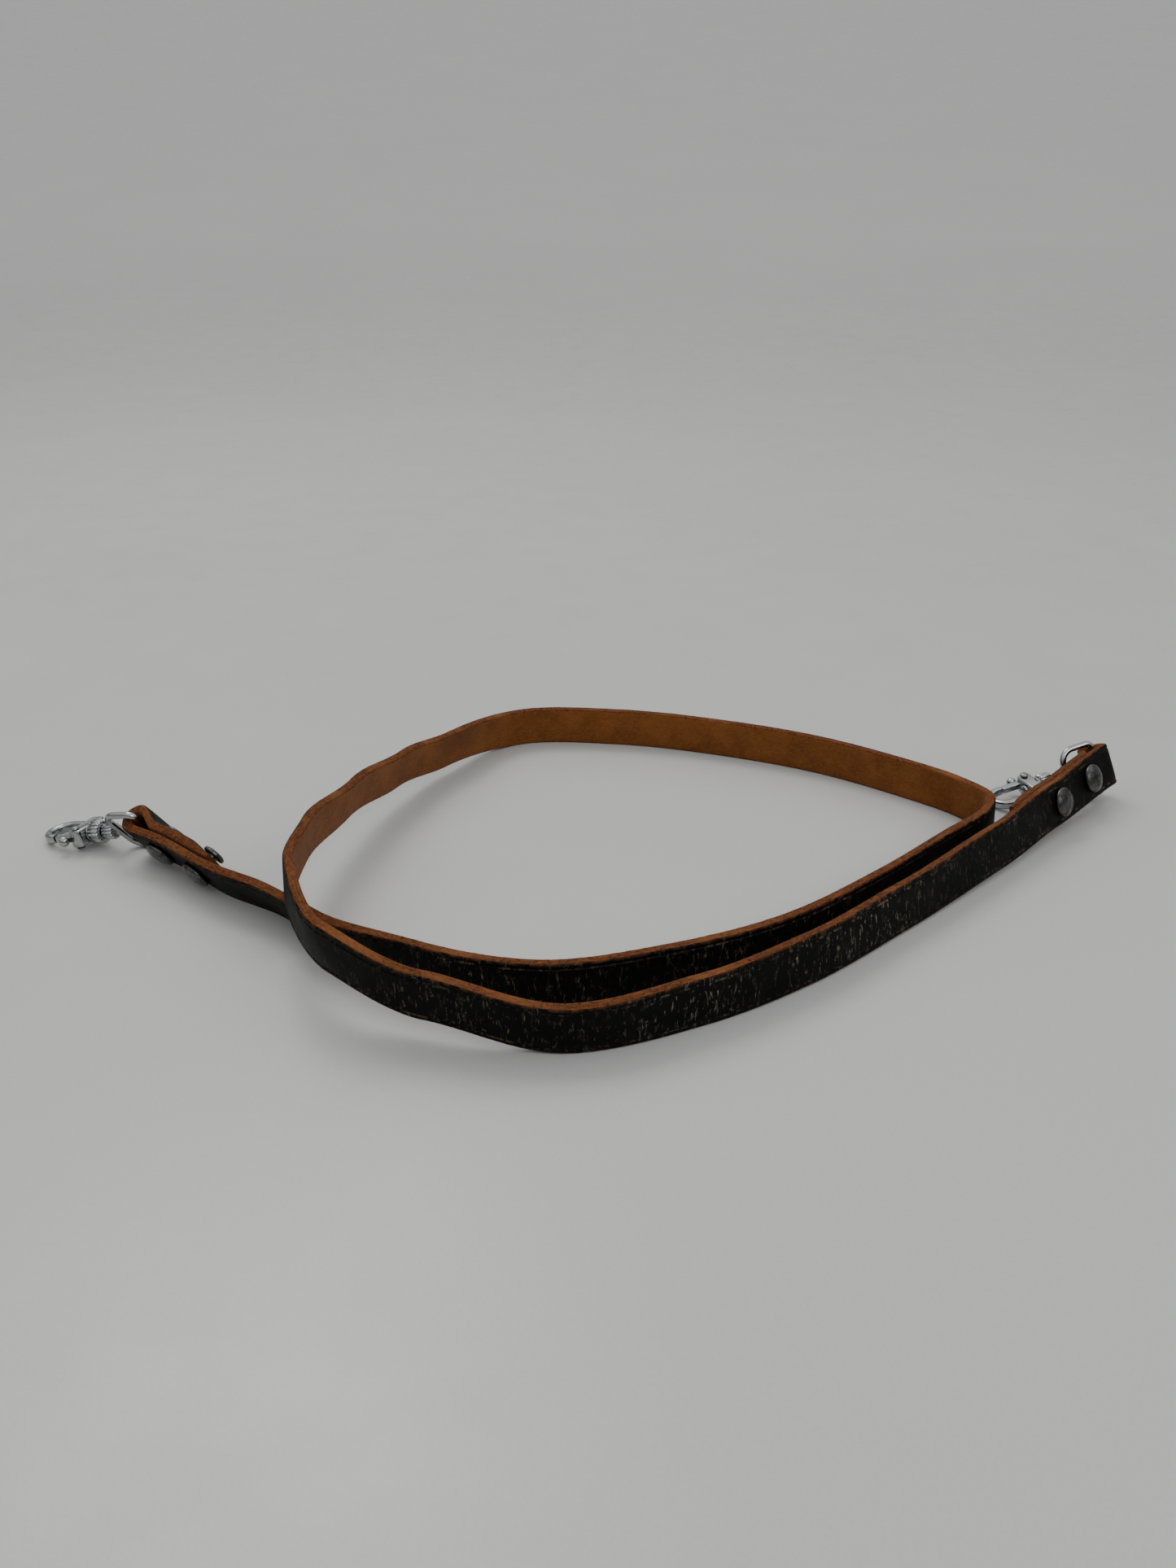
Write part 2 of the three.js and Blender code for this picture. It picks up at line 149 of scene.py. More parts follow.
# ---- materials -------------------------------------------------------------------------------
class Nodes:
    """Short-hand for building one procedural material."""

    def __init__(self, name):
        self.mat = bpy.data.materials.new(name)
        self.mat.use_nodes = True
        self.tree = self.mat.node_tree
        self.shader = self.tree.nodes["Principled BSDF"]

    def add(self, kind, inputs=(), **settings):
        node = self.tree.nodes.new(kind)
        for key, value in settings.items():
            setattr(node, key, value)
        for key, value in dict(inputs).items():
            self.put(node.inputs[key], value)
        return node

    def put(self, socket, value):
        if isinstance(value, bpy.types.NodeSocket):
            self.tree.links.new(value, socket)
        else:
            socket.default_value = value

    def coords(self, attribute=None, scale=(1, 1, 1)):
        if attribute:
            out = self.add("ShaderNodeAttribute", attribute_name=attribute).outputs["Vector"]
        else:
            out = self.add("ShaderNodeTexCoord").outputs["Object"]
        return self.add("ShaderNodeMapping", {"Vector": out, "Scale": scale}).outputs[0]

    def noise(self, vector, scale, detail=4.0, rough=0.55, distortion=0.0):
        ins = {"Vector": vector, "Scale": scale, "Detail": detail, "Roughness": rough}
        return self.add("ShaderNodeTexNoise", {**ins, "Distortion": distortion}).outputs["Fac"]

    def ramp(self, value, low, high, a=0.0, b=1.0):
        ins = {"Value": value, "From Min": low, "From Max": high, "To Min": a, "To Max": b}
        return self.add("ShaderNodeMapRange", ins).outputs[0]

    def math(self, op, a, b=0.0):
        node = self.add("ShaderNodeMath", operation=op)
        self.put(node.inputs[0], a)
        self.put(node.inputs[1], b)
        return node.outputs[0]

    def distance(self, value, place):
        return self.math("ABSOLUTE", self.math("SUBTRACT", value, place))

    def mix(self, factor, a, b):
        node = self.add("ShaderNodeMix", data_type="RGBA")
        for socket, value in ((node.inputs[0], factor), (node.inputs[6], a), (node.inputs[7], b)):
            self.put(socket, value)
        return node.outputs[2]

    def bump(self, height, strength, distance, normal=None):
        node = self.add("ShaderNodeBump", {"Height": height, "Strength": strength, "Distance": distance})
        if normal:
            self.put(node.inputs["Normal"], normal)
        return node.outputs[0]

    def finish(self, **sockets):
        for key, value in sockets.items():
            self.put(self.shader.inputs[key.replace("_", " ")], value)
        return self.mat


def rgb(r, g, b):
    return (r, g, b, 1.0)


def grain_leather():
    """Black finish: pebble grain, cross-wise cracks with pale dust in them, and worn pressed edge lines."""
    n = Nodes("grain_leather")
    base = n.coords("strip")
    across_way = n.coords("strip", (1, 0.13, 1))
    worn = n.ramp(n.noise(base, 26, 2), 0.42, 0.66)
    fine = n.noise(across_way, 2000, 3, 0.6, 0.3)
    broad = n.noise(across_way, 520, 3, 0.6, 0.5)
    crack_fine = n.ramp(n.distance(fine, 0.5), 0.003, 0.02, 1, 0)
    crack_broad = n.ramp(n.distance(broad, 0.5), 0.002, 0.011, 1, 0)
    patch = n.ramp(n.noise(base, 190, 3), 0.42, 0.56)
    cracks = n.math("MAXIMUM", n.math("MULTIPLY", crack_fine, patch), crack_broad)
    broken = n.ramp(n.noise(n.coords("strip", (1, 0.45, 1)), 1100, 2), 0.5, 0.6)
    fleck = n.math("MULTIPLY", cracks, broken)
    fleck = n.math("MULTIPLY", fleck, n.ramp(worn, 0, 1, 0.3, 1.0))
    along, across, _ = n.add("ShaderNodeSeparateXYZ", {"Vector": base}).outputs
    bends = [n.ramp(n.distance(along, at), near, far, most, 0.2) for at, near, far, most in WORN_BENDS]
    fleck = n.math("MULTIPLY", fleck, n.math("MAXIMUM", *bends))
    line = n.ramp(n.distance(n.math("ABSOLUTE", across), CREASE), 0.00012, 0.00034, 1, 0)
    dashes = n.ramp(n.noise(n.coords("strip", (1, 0.2, 1)), 700, 3, 0.7), 0.5, 0.62)
    line = n.math("MULTIPLY", n.math("MULTIPLY", line, dashes), n.ramp(worn, 0, 1, 0.15, 0.8))
    rim = n.ramp(n.math("ABSOLUTE", across), 0.0049, 0.00535)
    rim = n.math("MULTIPLY", rim, n.ramp(n.noise(base, 600, 4), 0.4, 0.62))
    tone = n.mix(n.noise(base, 60, 4), rgb(0.0010, 0.0009, 0.0009), rgb(0.0035, 0.0030, 0.0028))
    dust = n.mix(n.noise(base, 330, 2), rgb(0.24, 0.18, 0.10), rgb(0.42, 0.39, 0.30))
    colour = n.mix(n.math("MULTIPLY", fleck, 0.9), tone, dust)
    colour = n.mix(n.math("MULTIPLY", line, 0.75), colour, rgb(0.24, 0.17, 0.11))
    colour = n.mix(n.math("MULTIPLY", rim, 0.8), colour, rgb(0.10, 0.038, 0.014))
    rough = n.ramp(n.noise(base, 130, 3), 0.3, 0.7, 0.46, 0.62)
    pebble = n.noise(base, 2600, 3, 0.6)
    normal = n.bump(pebble, 0.35, 0.00012)
    normal = n.bump(cracks, -0.7, 0.00014, normal)
    return n.finish(Base_Color=colour, Roughness=rough, Normal=normal, Specular_IOR_Level=0.08)


def flesh_leather():
    """Mottled brown suede with a short nap."""
    n = Nodes("flesh_leather")
    base = n.coords("strip")
    mottled = n.ramp(n.noise(base, 95, 5, 0.65), 0.34, 0.68)
    nap = n.noise(n.coords("strip", (0.5, 1, 1)), 2300, 4, 0.7)
    colour = n.mix(mottled, rgb(0.125, 0.037, 0.008), rgb(0.22, 0.075, 0.017))
    colour = n.mix(n.ramp(nap, 0.38, 0.7, 0, 0.45), colour, rgb(0.31, 0.125, 0.036))
    stain = n.ramp(n.noise(base, 40, 3), 0.55, 0.72, 0, 0.5)
    colour = n.mix(stain, colour, rgb(0.09, 0.029, 0.009))
    normal = n.bump(nap, 0.6, 0.00018)
    return n.finish(Base_Color=colour, Roughness=0.93, Normal=normal, Specular_IOR_Level=0.1,
                    Sheen_Weight=0.06, Sheen_Roughness=0.5)


def edge_leather():
    """Raw cut edge: orange-tan fibres along the strip, with dark pits."""
    n = Nodes("edge_leather")
    base = n.coords("strip")
    fibres = n.noise(n.coords("strip", (0.16, 1, 1)), 3000, 4, 0.75, 0.4)
    pits = n.noise(base, 1100, 4, 0.75)
    colour = n.mix(n.ramp(fibres, 0.32, 0.68), rgb(0.06, 0.017, 0.005), rgb(0.22, 0.068, 0.016))
    colour = n.mix(n.ramp(pits, 0.5, 0.62, 0, 0.85), colour, rgb(0.022, 0.009, 0.006))
    colour = n.mix(n.ramp(n.noise(base, 60, 3), 0.5, 0.7, 0, 0.5), colour, rgb(0.27, 0.105, 0.033))
    normal = n.bump(fibres, 0.8, 0.00025)
    normal = n.bump(pits, 0.7, 0.0003, normal)
    return n.finish(Base_Color=colour, Roughness=0.88, Normal=normal, Specular_IOR_Level=0.2)


def fibre():
    """Loose leather fibre."""
    n = Nodes("fibre")
    tone = n.noise(n.coords(), 4000, 2)
    return n.finish(Base_Color=n.mix(tone, rgb(0.10, 0.032, 0.009), rgb(0.36, 0.16, 0.06)), Roughness=0.8)


def metal(name, bright, dull, rough, tarnish, scale=900):
    """Plated metal with handling smudges, hairline scratches and tarnish in patches."""
    n = Nodes(name)
    where = n.coords()
    cloud = n.ramp(n.noise(where, scale, 4, 0.6), 0.42, 0.66, 0, tarnish)
    hair = n.noise(n.coords(scale=(1, 9, 1)), 2200, 2, 0.5)
    colour = n.mix(cloud, rgb(*bright), rgb(*dull))
    smudge = n.ramp(n.noise(where, scale * 0.6, 3), 0.3, 0.7, *rough)
    roughness = n.math("ADD", smudge, n.math("MULTIPLY", cloud, 0.14))
    normal = n.bump(hair, 0.04, 0.00002)
    return n.finish(Base_Color=colour, Metallic=1.0, Roughness=roughness, Normal=normal)


GRAIN, FLESH, EDGE, FIBRE = grain_leather(), flesh_leather(), edge_leather(), fibre()
CHROME = metal("chrome_plate", (0.42, 0.425, 0.43), (0.22, 0.21, 0.20), (0.10, 0.18), 0.3, 350)
NICKEL = metal("tarnished_nickel", (0.12, 0.116, 0.116), (0.028, 0.024, 0.022), (0.24, 0.36), 0.85, 600)
STEEL = metal("dark_steel", (0.30, 0.30, 0.31), (0.12, 0.10, 0.09), (0.22, 0.36), 0.6)


# ---- mesh helpers ----------------------------------------------------------------------------
def piece(name, shape, mats, body, nodes=(), place=None, sharp=40, index=None):
    """A mesh object of the shape's vertices and faces, which rides on a body unless that is None."""
    verts, faces = shape
    mesh = bpy.data.meshes.new(name)
    if place is not None:
        verts = [place @ (Vector(v) * MM) for v in verts]
    mesh.from_pydata([tuple(v) for v in verts], [], faces)
    for m in mats:
        mesh.materials.append(m)
    if index is not None:
        mesh.polygons.foreach_set("material_index", index)
    mesh.shade_smooth()
    mesh.set_sharp_from_angle(angle=math.radians(sharp))
    obj = bpy.data.objects.new(name, mesh)
    bpy.context.scene.collection.objects.link(obj)
    if body:
        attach(obj, body)
    if nodes:
        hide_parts(*nodes)
    return obj


def merged(*shapes):
    """Several shapes as one."""
    verts, faces = [], []
    for v, f in shapes:
        faces += [tuple(i + len(verts) for i in face) for face in f]
        verts += list(v)
    return verts, faces


def skin(rings, count, closed=False, caps=True):
    """Faces over rings of count vertices each, which lie one after the other."""
    faces = []
    for i in range(rings if closed else rings - 1):
        for j in range(count):
            q, nxt = (j + 1) % count, (i + 1) % rings
            faces.append((i * count + j, nxt * count + j, nxt * count + q, i * count + q))
    if caps and not closed:
        last = (rings - 1) * count
        faces += [tuple(range(count)), tuple(reversed(range(last, last + count)))]
    return faces


def turned_over(faces):
    return [f[::-1] for f in faces]


def lathe(profile, segments=56):
    """Profile of (x, radius) spun about X; radius may be a function of the angle."""
    verts = []
    for x, radius in profile:
        for k in range(segments):
            a = 2 * math.pi * k / segments
            r = radius(a) if callable(radius) else radius
            verts.append((x, r * math.cos(a), r * math.sin(a)))
    return verts, skin(len(profile), segments)


def ball(centre, radius, squash, rings=16, segments=28):
    """A ball about the centre, flattened along Y."""
    cx, cy = centre
    verts = []
    for j in range(rings + 1):
        t = math.pi * j / rings
        r = radius * max(math.sin(t), 1e-4)
        for k in range(segments):
            a = 2 * math.pi * k / segments
            verts.append((cx + r * math.cos(a), cy + radius * squash * math.cos(t), r * math.sin(a)))
    return verts, skin(rings + 1, segments, caps=False)


def arc(centre, radius, start, sweep, steps):
    """Points of an arc, its angles in degrees."""
    angles = [math.radians(start + sweep * k / steps) for k in range(steps + 1)]
    return [(centre[0] + radius * math.cos(a), centre[1] + radius * math.sin(a)) for a in angles]


def round_section(a, b, r):
    """Rounded rectangle of half sizes a and b."""
    out = []
    for sx, sy, start in ((1, 1, 0), (-1, 1, 90), (-1, -1, 180), (1, -1, 270)):
        out += arc((sx * (a - r), sy * (b - r)), r, start, 90, 5)
    return out


def sweep_flat(path, section, closed=False, taper=None):
    """Sweep a section along a path in the XY plane: section x is sideways in plane, y is along Z."""
    verts = []
    n = len(path)
    for i, (x, y) in enumerate(path):
        ax, ay = path[(i + 1) % n] if closed or i + 1 < n else path[i]
        bx, by = path[i - 1] if closed or i else path[i]
        t = Vector((ax - bx, ay - by)).normalized()
        k = taper(i / (n - 1)) if taper else 1.0
        verts += [(x - t.y * sx * k, y + t.x * sx * k, sy * k) for sx, sy in section]
    return verts, turned_over(skin(n, len(section), closed))


def bevelled_plate(outline, half, bevel):
    """An outline in XY, given thickness along Z, its edges rounded over."""
    bm = bmesh.new()
    low = [bm.verts.new((x, y, -half)) for x, y in outline]
    high = [bm.verts.new((x, y, half)) for x, y in outline]
    bm.faces.new(low[::-1])
    bm.faces.new(high)
    for i in range(len(outline)):
        j = (i + 1) % len(outline)
        bm.faces.new((low[i], low[j], high[j], high[i]))
    bmesh.ops.recalc_face_normals(bm, faces=bm.faces)
    edges = list(bm.edges)
    bmesh.ops.bevel(bm, geom=edges, offset=bevel, segments=4, profile=0.5, affect="EDGES", clamp_overlap=True)
    bm.verts.index_update()
    out = [tuple(v.co) for v in bm.verts], [tuple(v.index for v in f.verts) for f in bm.faces]
    bm.free()
    return out


def basis(x, y, z, origin):
    """Matrix of a frame from its three directions and its origin."""
    m = Matrix.Identity(4)
    for i in range(3):
        m[i][0], m[i][1], m[i][2], m[i][3] = x[i], y[i], z[i], origin[i]
    return m


# ---- leather strip ---------------------------------------------------------------------------
def cross_section():
    """(width, thickness) offsets in millimetres, and the material of the band that starts at each."""
    grain_side, edge_side, flesh_side = 0, 1, 2
    half_width, half_thick, crease = WIDTH / 2 / MM, THICK / 2 / MM, CREASE / MM
    right = [0.9, 1.8, 2.7, 3.4, 3.8, 3.98, 4.14, 4.22, 4.3, 4.38, 4.46, 4.62, 4.85, 5.05]
    grain = []
    for a in [-v for v in reversed(right)] + [0] + right:
        groove = 0.2 * math.exp(-(((abs(a) - crease) / 0.15) ** 2))
        grain.append((a, -half_thick + groove + 0.08 * (abs(a) / half_width) ** 4, grain_side))
    rim = [(5.27, -1.0), (5.42, -0.82), (5.5, -0.6), (5.5, -0.25), (5.48, 0.1), (5.5, 0.45), (5.47, 0.8),
           (5.36, 1.02), (5.15, 1.13)]
    right_rim = [(a, b, edge_side) for a, b in rim]
    right_rim[0] = (*rim[0], grain_side)
    right_rim[-1] = (*rim[-1], flesh_side)
    left_rim = [(-a, b, edge_side) for a, b in reversed(rim)]
    left_rim[-1] = (*left_rim[-1][:2], grain_side)
    right_flesh = [1.0, 1.9, 2.8, 3.7, 4.6]
    flesh = [(a, half_thick - 0.05 * math.cos(a * 0.57), flesh_side)
             for a in right_flesh[::-1] + [0] + [-v for v in right_flesh]]
    return grain + right_rim + flesh + left_rim


def tail_rows(end):
    """Sections of the folded-back tail, from the fold to its pared end."""
    rows = []
    length = TAIL_LENGTH[end]
    for d in np.linspace(0, length, int(length / 0.0009)):
        mid, _, width, flesh = from_end(end, d)
        thick = SKIVE_THICK + (THICK - SKIVE_THICK) * float(smooth(length - d, 0, SKIVE_LENGTH))
        offset = float(layer_offset(d)) - (THICK - thick) / 2
        rows.append((mid + flesh * offset, width, -flesh, thick))
    return rows


def fold_rows(end, steps=28):
    """Sections of the strip round the clip's bar, from the strip to the tail."""
    rows = []
    mid, along, width, flesh = from_end(end, 0)
    outward = -along if end == "left" else along
    bar = mid + flesh * FOLD_RADIUS
    for k in range(1, steps):
        a = math.pi * k / steps
        inward = flesh * math.cos(a) - outward * math.sin(a)
        rows.append((bar - inward * FOLD_RADIUS, width, inward, THICK))
    return rows


def strip_rows():
    """Middle, width and flesh directions, and thickness, of every cross-section from tail to tail."""
    mids, _, widths, fleshes = station(np.linspace(0, TOTAL, 961))
    middle = [(m, w, f, THICK) for m, w, f in zip(mids, widths, fleshes)]
    left = tail_rows("left")[::-1] + fold_rows("left")[::-1]
    return left + middle + fold_rows("right") + tail_rows("right")


def strip(rows):
    """The strip's mesh, with each vertex's place on the flat strip kept in the attribute "strip"."""
    section = cross_section()
    gaps = [np.linalg.norm(b[0] - a[0]) for a, b in zip(rows, rows[1:])]
    runs = np.concatenate([[0], np.cumsum(gaps)])
    ripples = 14
    phases = [(random.uniform(300, 3600), random.uniform(0, 6.3), random.uniform(0, 6.3))
              for _ in range(ripples)]
    verts, flat = [], []
    for (mid, width, flesh, thick), run in zip(rows, runs):
        wave_top = sum(math.sin(run * f + p) for f, p, _ in phases) / ripples
        wave_low = sum(math.sin(run * f + q) for f, _, q in phases) / ripples
        for a, b, _ in section:
            wave = (wave_top if a > 0 else wave_low) * 0.16 * min(1, max(0, abs(a) - 4.7) / 0.6)
            out = a + math.copysign(wave, a) * 0.6 + wave * 0.4
            verts.append(mid + width * out * MM + flesh * b * MM * thick / THICK)
            flat.append((run, a * MM, b * MM))
    index = [side for _, _, side in section] * (len(rows) - 1) + [1, 1]
    obj = piece("strap_leather", (verts, skin(len(rows), len(section))), (GRAIN, EDGE, FLESH), "strap",
                ["leather_strap"], sharp=60, index=index)
    attribute = obj.data.attributes.new("strip", "FLOAT_VECTOR", "POINT")
    attribute.data.foreach_set("vector", np.array(flat, dtype=np.float32).ravel())


def edge_fibres(rows, total=5200):
    """Loose fibres that stand off the cut edges, none of them below the table."""
    verts, faces = [], []
    for _ in range(total):
        i = random.randrange(2, len(rows) - 2)
        mid, width, flesh, thick = rows[i]
        ahead = unit(rows[i + 1][0] - rows[i - 1][0])
        sign = 1 if random.random() < 0.78 else -1
        b = random.uniform(-0.35, 0.5) * thick
        root = mid + width * sign * 5.42 * MM + flesh * b + ahead * random.uniform(-0.5, 0.5) * MM
        size = random.uniform(0.15, 0.5) * (1.8 if random.random() < 0.06 else 1.0) * MM
        lift = random.uniform(0.15, 1.0) * (1 if sign > 0 else 0.25)
        way = unit(width * sign * lift + ahead * random.uniform(-1, 1) + flesh * random.uniform(-0.3, 0.9))
        turn = unit(way + width * sign * 0.3 + ahead * random.uniform(-0.9, 0.9))
        thin = unit(np.cross(way, ahead + flesh * 0.3)) * random.uniform(0.012, 0.024) * MM
        middle = root + way * size * 0.55
        tip = middle + turn * size * 0.45
        at = len(verts)
        verts += [root - thin, root + thin, middle - thin * 0.7, middle + thin * 0.7, tip]
        faces += [(at, at + 1, at + 3, at + 2), (at + 2, at + 3, at + 4)]
    shape = [(x, y, max(z, 5e-5)) for x, y, z in verts], faces
    piece("edge_fibres", shape, (FIBRE,), "strap")


# ---- rivets ----------------------------------------------------------------------------------
def rivet(end, number, distance):
    """A domed cap on the grain side and a dished back on the tail, either side of the two layers."""
    mid, _, width, flesh = from_end(end, distance)
    place = basis(-flesh, np.cross(width, -flesh), width, mid)
    radius = 3.7
    face = (THICK / 2 + SEAT) / MM
    dome = [(face - 0.4, 3.1), (face - 0.4, 3.4), (face - 0.12, 3.62)]
    dome += [(face + 0.1, radius), (face + 0.25, radius)]
    for k in range(1, 13):
        t = math.pi / 2 * k / 12
        dome.append((face + 0.27 + 1.33 * math.sin(t), radius * math.cos(t) ** 0.9 + 0.001))
    node = f"{end}_rivet_cap_{number}"
    piece(f"{end}_cap_{number}", lathe(dome), (NICKEL,), "strap", [node], place)
    back = -(float(layer_offset(distance)) + THICK / 2 + SEAT) / MM
    dish = [(-0.3, 0.2), (-0.35, 0.9), (-0.65, 1.3), (-0.7, 1.9), (-0.55, 2.4), (-0.3, 2.7), (-0.05, 2.8),
            (0.3, 2.7), (0.4, 2.5), (0.4, 1.4)]
    disc = [(back + x, r) for x, r in dish] + [(face, 1.4)]
    node = f"{end}_rivet_back_{number}"
    piece(f"{end}_back_{number}", lathe(disc), (NICKEL,), "strap", [node], place)


# ---- clips -----------------------------------------------------------------------------------
def wire_eye():
    """Rounded rectangle of wire, its bar at x = 0, with the swivel stem."""
    far, inset = EYE_LENGTH - EYE_CORNER, EYE_HALF_WIDTH - EYE_CORNER
    near = EYE_HALF_WIDTH - BAR_CORNER
    path = arc((far, -inset), EYE_CORNER, -90, 90, 14) + arc((far, inset), EYE_CORNER, 0, 90, 14)
    path += arc((BAR_CORNER, near), BAR_CORNER, 90, 90, 9) + [(0, y) for y in (3.4, 1.7, 0, -1.7, -3.4)]
    path += arc((BAR_CORNER, -near), BAR_CORNER, 180, 90, 9)
    wire = sweep_flat(path, round_section(WIRE_RADIUS, WIRE_RADIUS, WIRE_RADIUS - 0.001), closed=True)
    stem = lathe([(8.6, 0.9), (8.9, 1.25), (9.7, STEM_RADIUS), (STEM_HEAD, STEM_RADIUS), (STEM_HEAD, 1.5),
                  (21.8, 1.5), (22.2, 1.1), (22.3, 0.3)])
    return merged(wire, stem)


def ribbed(start, stop, radius, ribs, depth):
    """A ribbed ring round the stem."""
    bore, foot = STEM_RADIUS + 0.3, radius - depth - 0.35

    def outside(shrink):
        return lambda a: radius - shrink - depth * (1 - (0.5 + 0.5 * math.cos(a * ribs)) ** 0.6)

    profile = [(start, bore), (start, foot), (start + 0.12, outside(0.2)), (start + 0.35, outside(0)),
               (stop - 0.35, outside(0)), (stop - 0.12, outside(0.2)), (stop, foot), (stop, bore)]
    return lathe(profile, segments=ribs * 10)


def hook_shape():
    """Bar out, round the bow and back to the nose, with the swivel block."""
    mid = HOOK_RADIUS
    path = [(17.6, mid), (19, mid), (22, mid + 0.02), (25, mid)]
    for a in (math.radians(d) for d in range(0, 181, 8)):
        path.append((HOOK_CENTRE + mid * math.sin(a), mid * math.cos(a)))
    path += [(26.6, -mid), (26.2, -mid)]
    bar = sweep_flat(path, round_section(0.9, 1.2, 0.75), taper=lambda t: 1 - 0.12 * smooth(t, 0.93, 1))
    block = bevelled_plate([(BLOCK_START, 4.6), (BLOCK_START, -4.3), (18.3, -4.9), (20.3, -4.9),
                            (BLOCK_STOP, -4.3), (BLOCK_STOP, 4.6)], BLOCK_HALF, 0.45)
    lip = lathe([(17.3, 1.5), (17.3, 2.4), (17.5, 2.55), (17.9, 2.5)], 40)
    return merged(bar, block, lip)


def gate_shape():
    """The gate's arm and its thumb knob on a waisted neck."""
    arm = bevelled_plate([(18.3, -2.95), (18.3, -4.3), (18.8, -4.75), (22, -4.85), (25.6, -4.65),
                          (25.9, -4.2), (25.9, -2.9), (20.4, -2.75)], 0.8, 0.22)
    verts, faces = lathe([(0, 0.75), (0.5, 0.62), (1.2, 0.6), (1.7, 0.8)], 24)
    neck = [(KNOB_AT[0] + y, -4.2 - x, z) for x, y, z in verts], faces
    return merged(arm, neck, ball(KNOB_AT, KNOB_RADIUS, squash=0.86))


def pin_shape():
    """The hinge pin, a head at each end of its shank."""
    half = [(2.95, 0.3), (2.9, 0.75), (2.7, 0.98), (2.5, 1.05), (2.45, 0.6)]
    return lathe([(-x, r) for x, r in half] + half[::-1], 36)


def clip(end, flip):
    """A clip square to its bar, tilted down until its hook's tip lies on the table."""
    mid, _, width, flesh = from_end(end, 0)
    bar = mid + flesh * FOLD_RADIUS
    across = unit(np.cross(width, UP))
    across = -across if across[0] > 0 else across
    down = np.cross(across, width)
    down = -down if down[2] > 0 else down
    tilt = math.asin((bar[2] / MM - TIP_HEIGHT) / HOOK_TIP / -down[2])
    axis = across * math.cos(tilt) + down * math.sin(tilt)
    level = unit(np.cross(UP, axis)) * flip
    eye = basis(axis, width, np.cross(axis, width), bar)
    hook = basis(axis, level, np.cross(axis, level), bar)
    pivot = Matrix.Translation((GATE_PIVOT[0] * MM, GATE_PIVOT[1] * MM, 0))
    stand = pivot @ Matrix.Rotation(-math.pi / 2, 4, "Y")
    eye_body, hook_body, gate_body = f"{end}_eye", f"{end}_hook", f"{end}_gate"
    piece(f"{end}_eye", wire_eye(), (CHROME,), eye_body, [f"{end}_eye_ring"], eye)
    piece(f"{end}_nut", ribbed(**NUT), (CHROME,), eye_body, [f"{end}_stem_nut"], eye, sharp=50)
    piece(f"{end}_collar", ribbed(**COLLAR), (CHROME,), hook_body, [f"{end}_swivel_collar"], hook,
          sharp=50)
    piece(f"{end}_hook", hook_shape(), (CHROME,), hook_body, [f"{end}_hook_body"], hook)
    piece(f"{end}_gate", gate_shape(), (CHROME,), gate_body, [f"{end}_gate_lever"], hook)
    piece(f"{end}_pin", pin_shape(), (STEEL,), hook_body, [f"{end}_gate_pin"], hook @ stand)
    leaf_path = [(18.1, -2.13), (19.2, -2.12), (20.0, -2.14), (20.9, -2.2)]
    shape = sweep_flat(leaf_path, round_section(0.12, 0.6, 0.1))
    leaf = piece(f"{end}_leaf", shape, (STEEL,), None, [f"{end}_gate_spring"], hook)
    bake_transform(leaf)


# ---- table, light and camera -----------------------------------------------------------------
def table_top():
    """A level table that rises gently far behind the strap, so that it fills the view."""
    n = Nodes("pale_table")
    where = n.coords()
    tone = n.mix(n.noise(where, 5, 4), rgb(0.50, 0.503, 0.488), rgb(0.55, 0.552, 0.535))
    tone = n.mix(n.ramp(n.noise(where, 1500, 2), 0.4, 0.75, 0, 0.12), tone, rgb(0.33, 0.335, 0.33))
    rough = n.ramp(n.noise(where, 40, 3), 0.3, 0.7, 0.26, 0.36)
    normal = n.bump(n.noise(where, 420, 3), 0.05, 0.0004)
    mat = n.finish(Base_Color=tone, Roughness=rough, Normal=normal, Specular_IOR_Level=0.4)
    slope = math.tan(math.radians(14))
    level_end, curve, far_edge, half_width = 0.6, 1.4, 40.0, 40.0
    line = [(-1.5, 0.0), (level_end, 0.0)]
    line += [(level_end + curve * k / 24, curve / 2 * slope * (k / 24) ** 2) for k in range(1, 25)]
    line.append((far_edge, slope * (far_edge - level_end - curve / 2)))
    verts = [(x, y, z) for y, z in line for x in (-half_width, half_width)]
    mesh = bpy.data.meshes.new("table")
    mesh.from_pydata(verts, [], [(i, i + 1, i + 3, i + 2) for i in range(0, 2 * len(line) - 2, 2)])
    mesh.materials.append(mat)
    mesh.shade_smooth()
    obj = bpy.data.objects.new("table", mesh)
    bpy.context.scene.collection.objects.link(obj)


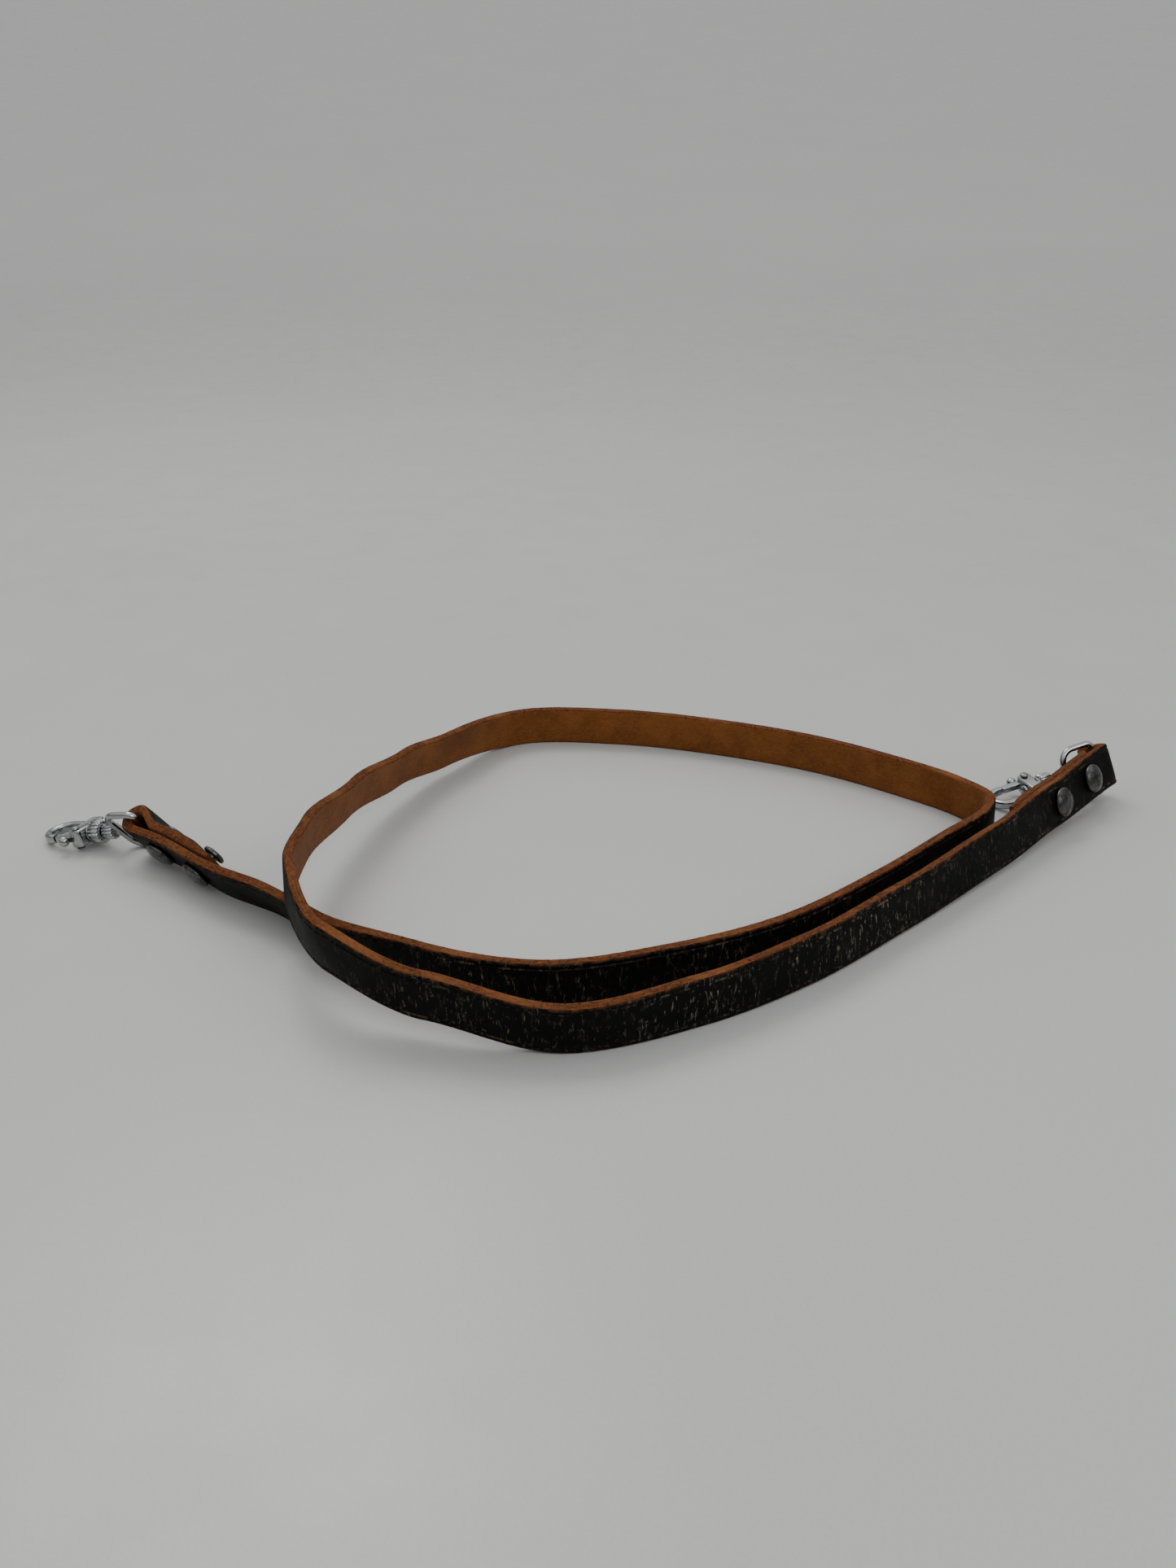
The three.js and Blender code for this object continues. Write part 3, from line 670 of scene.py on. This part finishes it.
def area_light(name, location, size, power, colour):
    """A soft rectangular light that points at the middle of the strap."""
    data = bpy.data.lights.new(name, "AREA")
    data.shape, data.size, data.size_y = "RECTANGLE", *size
    data.energy, data.color = power, colour
    obj = bpy.data.objects.new(name, data)
    obj.location = location
    obj.rotation_euler = (-Vector(location)).to_track_quat("-Z", "Y").to_euler()
    bpy.context.scene.collection.objects.link(obj)


def studio_world():
    """Even light from above that falls off to a grey horizon, which the polished metal reflects."""
    world = bpy.data.worlds.new("studio")
    world.use_nodes = True
    nodes, links = world.node_tree.nodes, world.node_tree.links
    way = nodes.new("ShaderNodeTexCoord")
    split = nodes.new("ShaderNodeSeparateXYZ")
    ramp = nodes.new("ShaderNodeValToRGB")
    links.new(way.outputs["Generated"], split.inputs[0])
    links.new(split.outputs[2], ramp.inputs[0])
    links.new(ramp.outputs[0], nodes["Background"].inputs["Color"])
    stops = ramp.color_ramp.elements
    stops[0].position, stops[0].color = 0.0, rgb(0.20, 0.20, 0.205)
    stops[1].position, stops[1].color = 0.62, rgb(1.05, 1.06, 1.06)
    stops.new(0.28).color = rgb(0.30, 0.30, 0.31)
    nodes["Background"].inputs["Strength"].default_value = 0.84
    bpy.context.scene.world = world


def photo_camera():
    """The photograph's viewpoint: 135 mm above the table, looking 24.4 degrees down."""
    lens = bpy.data.cameras.new("camera")
    lens.lens, lens.sensor_width, lens.clip_start = 27.03, 36, 0.01
    camera = bpy.data.objects.new("camera", lens)
    camera.location = (-CENTRE[0], -0.2526, 0.135)
    camera.rotation_euler = (math.radians(90 - 24.4), 0, 0)
    bpy.context.scene.collection.objects.link(camera)
    bpy.context.scene.camera = camera


rows = strip_rows()
strip(rows)
edge_fibres(rows)
for end in ENDS:
    for number, distance in enumerate(RIVET_AT[end], 1):
        rivet(end, number, distance)
clip("left", -1)
clip("right", 1)
table_top()
area_light("ceiling_panel", (-0.3, 0.55, 0.95), (0.5, 0.4), 3.6, (1.0, 0.985, 0.96))
area_light("side_window", (0.5, -0.75, 0.8), (0.7, 0.5), 2.6, (0.93, 0.97, 1.0))
studio_world()
photo_camera()
